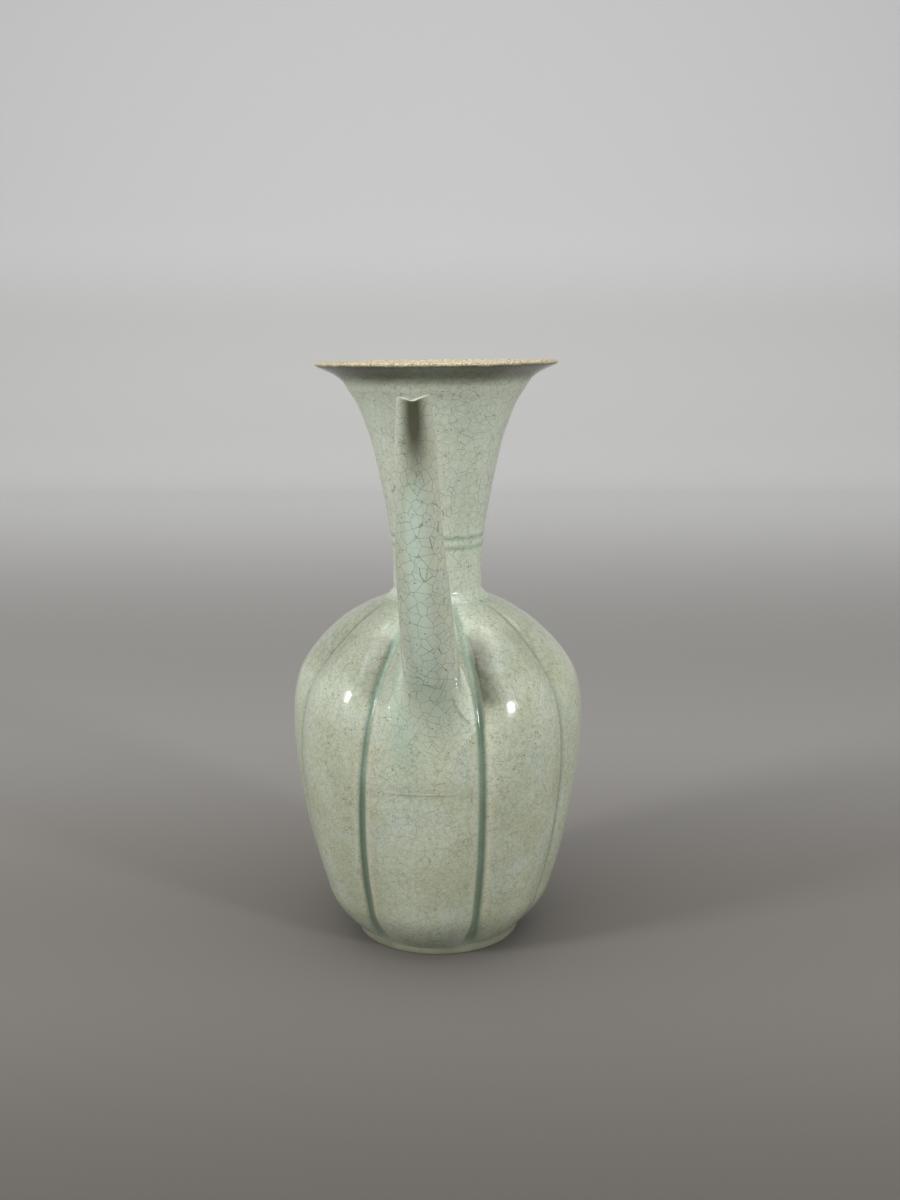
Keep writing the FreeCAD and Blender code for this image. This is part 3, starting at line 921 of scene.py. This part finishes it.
SPOUT_COLUMNS = 128
SPOUT_TURN = np.linspace(0, 2 * np.pi, SPOUT_COLUMNS, endpoint=False)
# How much of the spout's front each column takes, and its two sides
SPOUT_FRONT = np.clip(np.sin(SPOUT_TURN), 0, 1)
SPOUT_RIGHT = np.clip(np.cos(SPOUT_TURN), 0, 1)
SPOUT_LEFT = np.clip(-np.cos(SPOUT_TURN), 0, 1)


def spout_point(length, gap=0.0):
    """The spout's ring of points this far along it, from its right side round its front first."""
    centre, radius, along, side, out = spout_line.frame(length)
    across = np.cos(SPOUT_TURN)[:, None] * side + np.sin(SPOUT_TURN)[:, None] * out
    return centre + (radius - gap)[..., None] * across


def search(low, high, is_high):
    """Where a test starts to hold between two places, one search for each column."""
    for _ in range(40):
        middle = (low + high) / 2
        above = is_high(middle)
        low, high = np.where(above, low, middle), np.where(above, middle, high)
    return high


def root_skirt(point_at, hits, climb, spread, project, gap_of, steps):
    """Rings of slip from a tube's side down to a spread outline on what carries it."""
    start = hits + climb
    top = point_at(start)
    down = unit(point_at(start - 0.8) - top)
    corner = point_at(hits)
    probe = project(corner + 0.5 * unit(corner - corner.mean(0)))
    outward = unit(probe - corner)
    edge = project(corner + outward * np.reshape(spread, (-1, 1)))
    arrive = unit(edge - project(edge - 0.6 * outward))
    size = np.linalg.norm(edge - top, axis=1)[:, None]
    first, second = top + down * size * 0.42, edge - arrive * size * 0.42
    rings = []
    for t in np.linspace(0, 1, steps):
        back = 1 - t
        ring = back ** 3 * top + 3 * back ** 2 * t * first + 3 * back * t ** 2 * second + t ** 3 * edge
        sunk = np.minimum(gap_of(ring) - 0.02 * back, 0)[:, None]
        rings.append(ring - sunk * straight_out(ring))
    return rings, start


def turn_under(stack, skirt, place, hits, start, gap):
    """Rings that close a skirt of slip: under its own edge and up inside the tube's wall."""
    stack.add(skirt[-1] - 0.5 * straight_out(skirt[-1]))
    stack.add(place(hits - 0.5, gap + 0.3))
    stack.add(place(start, gap))


def spout_skirt():
    """Where the spout leaves the belly, how far each column looks down, and the slip's rings."""
    hits = search(2.0, 70.0, lambda length: belly_gap(spout_point(length)) > 0)
    corner = spout_point(hits)
    down = rounded((0.15 - unit(corner - corner.mean(0))[:, 2]) / 1.1)
    skirt, start = root_skirt(spout_point, hits, 3.2 + 11.0 * down, 2.4 + 17.0 * down ** 1.5,
                              on_middle_lobe, belly_gap, 26)
    return hits, down, skirt, start


def spout_end(gap):
    """The length at which each column meets the lip, which dips in front, at this depth in the wall."""
    def is_cut(length):
        point = spout_point(length, gap)
        beside = point[:, 0] + SPOUT_LEAN
        dip = SPOUT_DIP * (1 - hump(beside, 0.6 * SPOUT_DIP_RADIUS))
        return point[:, 2] > SPOUT_ROOT + SPOUT_RISE - SPOUT_DIP - 0.1 + dip + 0.07 * beside

    return search(90.0, spout_line.length - 0.5, is_cut)


def spout_masks(share):
    """The glaze on the spout's outside, with painted light and shade, at a share of the way from its root to
    its lip.
    """
    strip = hump(SPOUT_TURN - 1.75, 0.4)
    pool = strip * (0.26 * fall(share, 0.78, 0.2) + 0.02)
    # Painted light down the front and round the root, and on the left side towards the lip
    pale = strip * (0.5 + 0.4 * fall(share, 0.62, 0.2)) * fall(share, 0.74, 0.2)
    pale = np.maximum(pale, 0.26 * fall(share, 0.2, 0.15))
    pale = np.maximum(pale, 0.6 * SPOUT_LEFT ** 2 * rise(share, 0.6, 0.2))
    thin = 0.36 * (1 - strip) * (0.6 + 0.4 * rise(share, 0.3, 0.5))
    thin = thin + 0.25 * SPOUT_RIGHT * rise(share, 0.3, 0.3)
    # Painted shade down the front near the lip, where the tip leans out
    dusk = 1.6 * rise(share, 0.64, 0.3) * SPOUT_FRONT ** 6
    return {"pool": pool, "pale": pale, "thin": thin, "dusk": dusk, "coarse": 1}


def make_spout():
    hits, _, _, start = spout_skirt()
    outer_end, inner_end = spout_end(0.0), spout_end(SPOUT_LIP)
    stack = Stack()
    stack.add(spout_point(hits - 1.0, 0.35))
    stack.add(spout_point(start - 0.3, 0.30))
    for share in np.linspace(0, 1, 150):
        ring = spout_point(start + (outer_end - 0.5 - start) * share)
        stack.add(ring, **spout_masks(share), crease=share == 0)
    outer = spout_point(outer_end, 0.25)
    inner = spout_point(inner_end, SPOUT_LIP - 0.2)
    worn = np.cos(SPOUT_TURN) ** 2
    # Painted shade under the lip's front, a painted highlight on the lip brightest in the dip, and clay worn
    # bare at its sides
    stack.add(spout_point(outer_end - 0.15, 0.07), coarse=1, bare=0.4 * worn, dusk=0.8 * SPOUT_FRONT)
    stack.add(outer, coarse=1, bare=0.8 * worn, pale=1 - worn)
    stack.add((outer + inner) / 2 + [0, -0.05, 0.22], coarse=1, bare=worn, pale=1 - worn)
    stack.add(inner, coarse=1, bare=0.5 * worn, pale=1)
    bore_hits = search(2.0, 70.0, lambda length: belly_gap(spout_point(length, SPOUT_WALL)) > -0.6)
    for share in np.linspace(1, 0, 50):
        length = bore_hits + (inner_end - 0.6 - bore_hits) * share
        wall = SPOUT_WALL + (SPOUT_LIP - SPOUT_WALL) * share
        stack.add(spout_point(length, wall), coarse=1)
    skin(stack, "pouring_spout", "glaze", "spout")


def make_spout_slip():
    hits, down, skirt, start = spout_skirt()
    stack = Stack()
    for share, ring in zip(np.linspace(0, 1, len(skirt)), skirt):
        azimuth, z = azimuth_of(ring), ring[:, 2]
        turn = turn_from(azimuth, 0)
        fold = (1 - down) * rounded(share * 2.2) * rounded((1.25 - share) * 3)
        upper = SPOUT_FRONT ** 2 * (1 - share)
        run = np.maximum(lobe_band(azimuth, z) * share, 0.08 * fold)
        # Painted highlight along the fold on the right, and painted light on the left of the spout's root
        fold_highlight = 1.4 * hump(turn - 19, 10) * rise(share, 0.2, 0.3)
        stack.add(ring, crease=share in (0, 1), pool=np.maximum(run, 0.2 * upper),
                  pale=np.maximum(0.4 * hump(turn + 12, 13) * share, fold_highlight),
                  thin=np.maximum(0.24 * (1 - SPOUT_FRONT ** 2) * (1 - share), 0.4 * fold),
                  coarse=1 - share + share * coarse_share(azimuth, z))
    turn_under(stack, skirt, spout_point, hits, start, 0.7)
    skin(stack, "spout_root_slip", "glazed_slip", "spout_seam_slip")


def handle_points():
    """The strap's centre line, from inside the neck's wall over and down into the shoulder's."""
    neck_side = float(neck_radius_at(HANDLE_TOP))
    points = [(0, neck_side - 2.0, HANDLE_TOP - 5.0)]
    for out, up in HANDLE_ROWS:
        points.append((0, neck_side + (HANDLE_REACH - neck_side) * out,
                       HANDLE_FOOT + (HANDLE_PEAK - HANDLE_FOOT) * up))
    foot_side = float(belly_profile(belly_share(HANDLE_FOOT)))
    points.append((0, foot_side - 2.2, HANDLE_FOOT - 2.2))
    return points


handle_line = Line(handle_points(), np.zeros(len(HANDLE_ROWS) + 2))


def strap_section():
    """Sideways and outward places round the strap, from its right edge over the ribs and back."""
    half, edge = HANDLE_THICKNESS / 2, HANDLE_WIDTH / 2 - HANDLE_THICKNESS / 2
    rib = 2 * edge / HANDLE_RIBS
    across = np.linspace(edge, -edge, 37)
    offset = (across + edge) % rib / rib
    offset[0], offset[-1] = 1, 0
    top = half + HANDLE_RIB * np.clip(1 - (2 * offset - 1) ** 2, 0, 1) ** 0.8
    turn = np.linspace(math.pi / 2, 3 * math.pi / 2, 11)[1:-1]
    left = np.stack([-edge + half * np.cos(turn), half * np.sin(turn)], -1)
    flat = np.linspace(-edge, edge, 15)
    low = np.stack([flat, -half + 0.25 * (1 - (flat / edge) ** 2)], -1)
    turn = np.linspace(-math.pi / 2, math.pi / 2, 11)[1:-1]
    right = np.stack([edge + half * np.cos(turn), half * np.sin(turn)], -1)
    return np.vstack([np.stack([across, top], -1), left, low, right])


SECTION = strap_section()


def strap_point(length, gap=0.0):
    """The strap's ring of points this far from its top end, a gap inside its surface."""
    centre, _, along, side, out = handle_line.frame(length)
    share = np.clip(np.asarray(length) / handle_line.length, 0, 1)
    narrow = 0.995 - 0.065 * np.sin(np.pi * share) ** 2
    section = SECTION - gap * unit(SECTION * [0.3, 1])
    return centre + (section[:, :1] * np.reshape(narrow, (-1, 1))) * side + section[:, 1:] * out


def strap_from_foot(length, gap=0.0):
    return strap_point(handle_line.length - length, gap)


def strap_marks():
    """Thick glaze in the valleys between the ribs, and thin glaze on the ribs and the sides."""
    across = np.abs(SECTION[:, 0])
    rib = (HANDLE_WIDTH - HANDLE_THICKNESS) / HANDLE_RIBS
    upper = SECTION[:, 1] > 2.3
    valley = 0.75 * hump(across - rib / 2, 0.6) * upper
    ridge = (hump(across, 0.9) + hump(across - rib, 0.9)) * upper + hump(across - HANDLE_WIDTH / 2, 0.8)
    return valley, 0.5 * np.clip(ridge, 0, 1)


def make_luting(name, node, place, hits, project, gap_of):
    """The slip round one end of the strap, spread onto the neck or the belly."""
    valley, ridge = strap_marks()
    skirt, start = root_skirt(place, hits, 3.4, 2.0, project, gap_of, 14)
    stack = Stack()
    for share, ring in zip(np.linspace(0, 1, len(skirt)), skirt):
        pool = np.maximum(valley * (1 - share), 0.5 * hump(share - 0.62, 0.3))
        stack.add(ring, crease=share in (0, 1), pool=pool, thin=ridge * (1 - share), coarse=HANDLE_CRACKLE)
    turn_under(stack, skirt, place, hits, start, 0.6)
    skin(stack, name, "glazed_slip", node)


def make_handle():
    """The strap, and the slip at both its ends."""
    valley, ridge = strap_marks()
    top = search(0.0, 30.0, lambda length: neck_gap(strap_point(length)) > 0)
    foot = search(0.0, 30.0, lambda length: belly_gap(strap_from_foot(length)) > 0)
    stack = Stack()
    stack.add(strap_point(0.2, 0.6))
    stack.add(strap_point(top - 0.5, 0.35))
    for share in np.linspace(0, 1, 150):
        length = top + (handle_line.length - foot - top) * share
        stack.add(strap_point(length), crease=share in (0, 1), pool=valley, thin=ridge, coarse=HANDLE_CRACKLE)
    stack.add(strap_from_foot(foot - 0.5, 0.35))
    stack.add(strap_from_foot(0.2, 0.6))
    skin(stack, "strap_handle", "glaze", "handle", fans=True)
    make_luting("handle_top_luting", "handle_top_slip", strap_point, top, on_neck, neck_gap)
    make_luting("handle_foot_luting", "handle_foot_slip", strap_from_foot, foot, on_belly, belly_gap)


make_foot()
make_lower_belly()
make_seam()
make_upper_belly()
make_neck_slip()
make_neck()
make_spout()
make_spout_slip()
make_handle()


# Floor, light and camera

# The floor, in metres: where it starts, where it bends up and how round, its top and half its width
SWEEP_NEAR = -3.0
SWEEP_BEND = 1.7
SWEEP_RADIUS = 0.5
SWEEP_TOP = 4.0
SWEEP_HALF_WIDTH = 5.0
# The camera's place in millimetres and its angles in degrees, fitted to the photo's outline
CAMERA_PLACE = (5.51, -544.03, 252.92)
CAMERA_DIP = 11.145
CAMERA_ROLL = 0.076
CAMERA_LENS = 39.0
AIM = (0, 0, 0.11)


def sweep_finish():
    """Grey paper with painted shade, darkest round the ewer, and painted light, lighter with distance and up
    the backdrop.
    """
    finish = Finish("sweep_paper")
    y, z = (finish.add("ShaderNodeSeparateXYZ", {}, {0: finish.place}, axis) for axis in "YZ")
    colour = tint(85, 81, 76)
    # Painted shade and light: the colour is darkest round the ewer and lighter with distance, behind the
    # camera and up the backdrop
    for share, shade in (
        (y.between(-0.22, -0.06), tint(104, 100, 95)),
        (y.between(-0.02, 0.3), tint(128, 125, 121)),
        (y.between(-1.0, -2.6), tint(170, 168, 165)),
        (y.between(0.42, 1.8), tint(203, 201, 198)),
        (z.between(0.0, 0.1), tint(198, 196, 193)),
        (z.between(0.28, 0.48), tint(212, 210, 210)),
    ):
        colour = finish.mix(share, colour, shade)
    return finish.made(colour, 0.8, 1.3)


def make_stage():
    """A pale sweep: a level floor that curves up into a backdrop."""
    rows = [(SWEEP_NEAR, 0.0), (SWEEP_BEND, 0.0)]
    for angle in np.linspace(0.05, math.pi / 2, 24):
        rows.append((SWEEP_BEND + SWEEP_RADIUS * math.sin(angle), SWEEP_RADIUS * (1 - math.cos(angle))))
    rows.append((SWEEP_BEND + SWEEP_RADIUS, SWEEP_TOP))
    points = [(x, y, z) for y, z in rows for x in (-SWEEP_HALF_WIDTH, SWEEP_HALF_WIDTH)]
    faces = [(2 * i, 2 * i + 1, 2 * i + 3, 2 * i + 2) for i in range(len(rows) - 1)]
    mesh = bpy.data.meshes.new("sweep")
    mesh.from_pydata(points, [], faces)
    mesh.shade_smooth()
    mesh.materials.append(sweep_finish())
    linked("sweep", mesh)


def make_lamp(name, place, aim, size, power):
    lamp = bpy.data.lights.new(name, "AREA")
    lamp.shape = "RECTANGLE"
    lamp.size, lamp.size_y = size
    lamp.energy = power
    holder = linked(name, lamp)
    holder.location = place
    away = Vector(place) - Vector(aim)
    holder.rotation_mode = "QUATERNION"
    holder.rotation_quaternion = away.to_track_quat("Z", "Y")


def make_light():
    """Two soft boxes for the highlights on the lobes, a wide one overhead, and a plain pale room."""
    make_lamp("left_softbox", (-1.32, -0.77, 0.68), AIM, (0.30, 0.34), 19)
    make_lamp("right_softbox", (1.10, -0.98, 0.47), AIM, (0.19, 0.19), 13.5)
    make_lamp("overhead", (0.0, -0.2, 2.0), (0, 0, 0.1), (2.6, 2.0), 35)
    world = bpy.data.worlds.new("studio")
    bpy.context.scene.world = world
    world.use_nodes = True
    background = world.node_tree.nodes["Background"]
    background.inputs["Color"].default_value = (0.90, 0.95, 1.0, 1)
    background.inputs["Strength"].default_value = 0.52


def make_camera():
    camera = bpy.data.cameras.new("camera")
    camera.lens = CAMERA_LENS
    camera.sensor_width = 36.0
    camera.clip_start, camera.clip_end = 0.01, 50
    holder = linked("camera", camera)
    holder.location = [place * MM for place in CAMERA_PLACE]
    holder.rotation_euler = (math.radians(90 - CAMERA_DIP), math.radians(CAMERA_ROLL), 0)
    bpy.context.scene.camera = holder


make_stage()
make_light()
make_camera()
bpy.context.scene.view_settings.view_transform = "Standard"
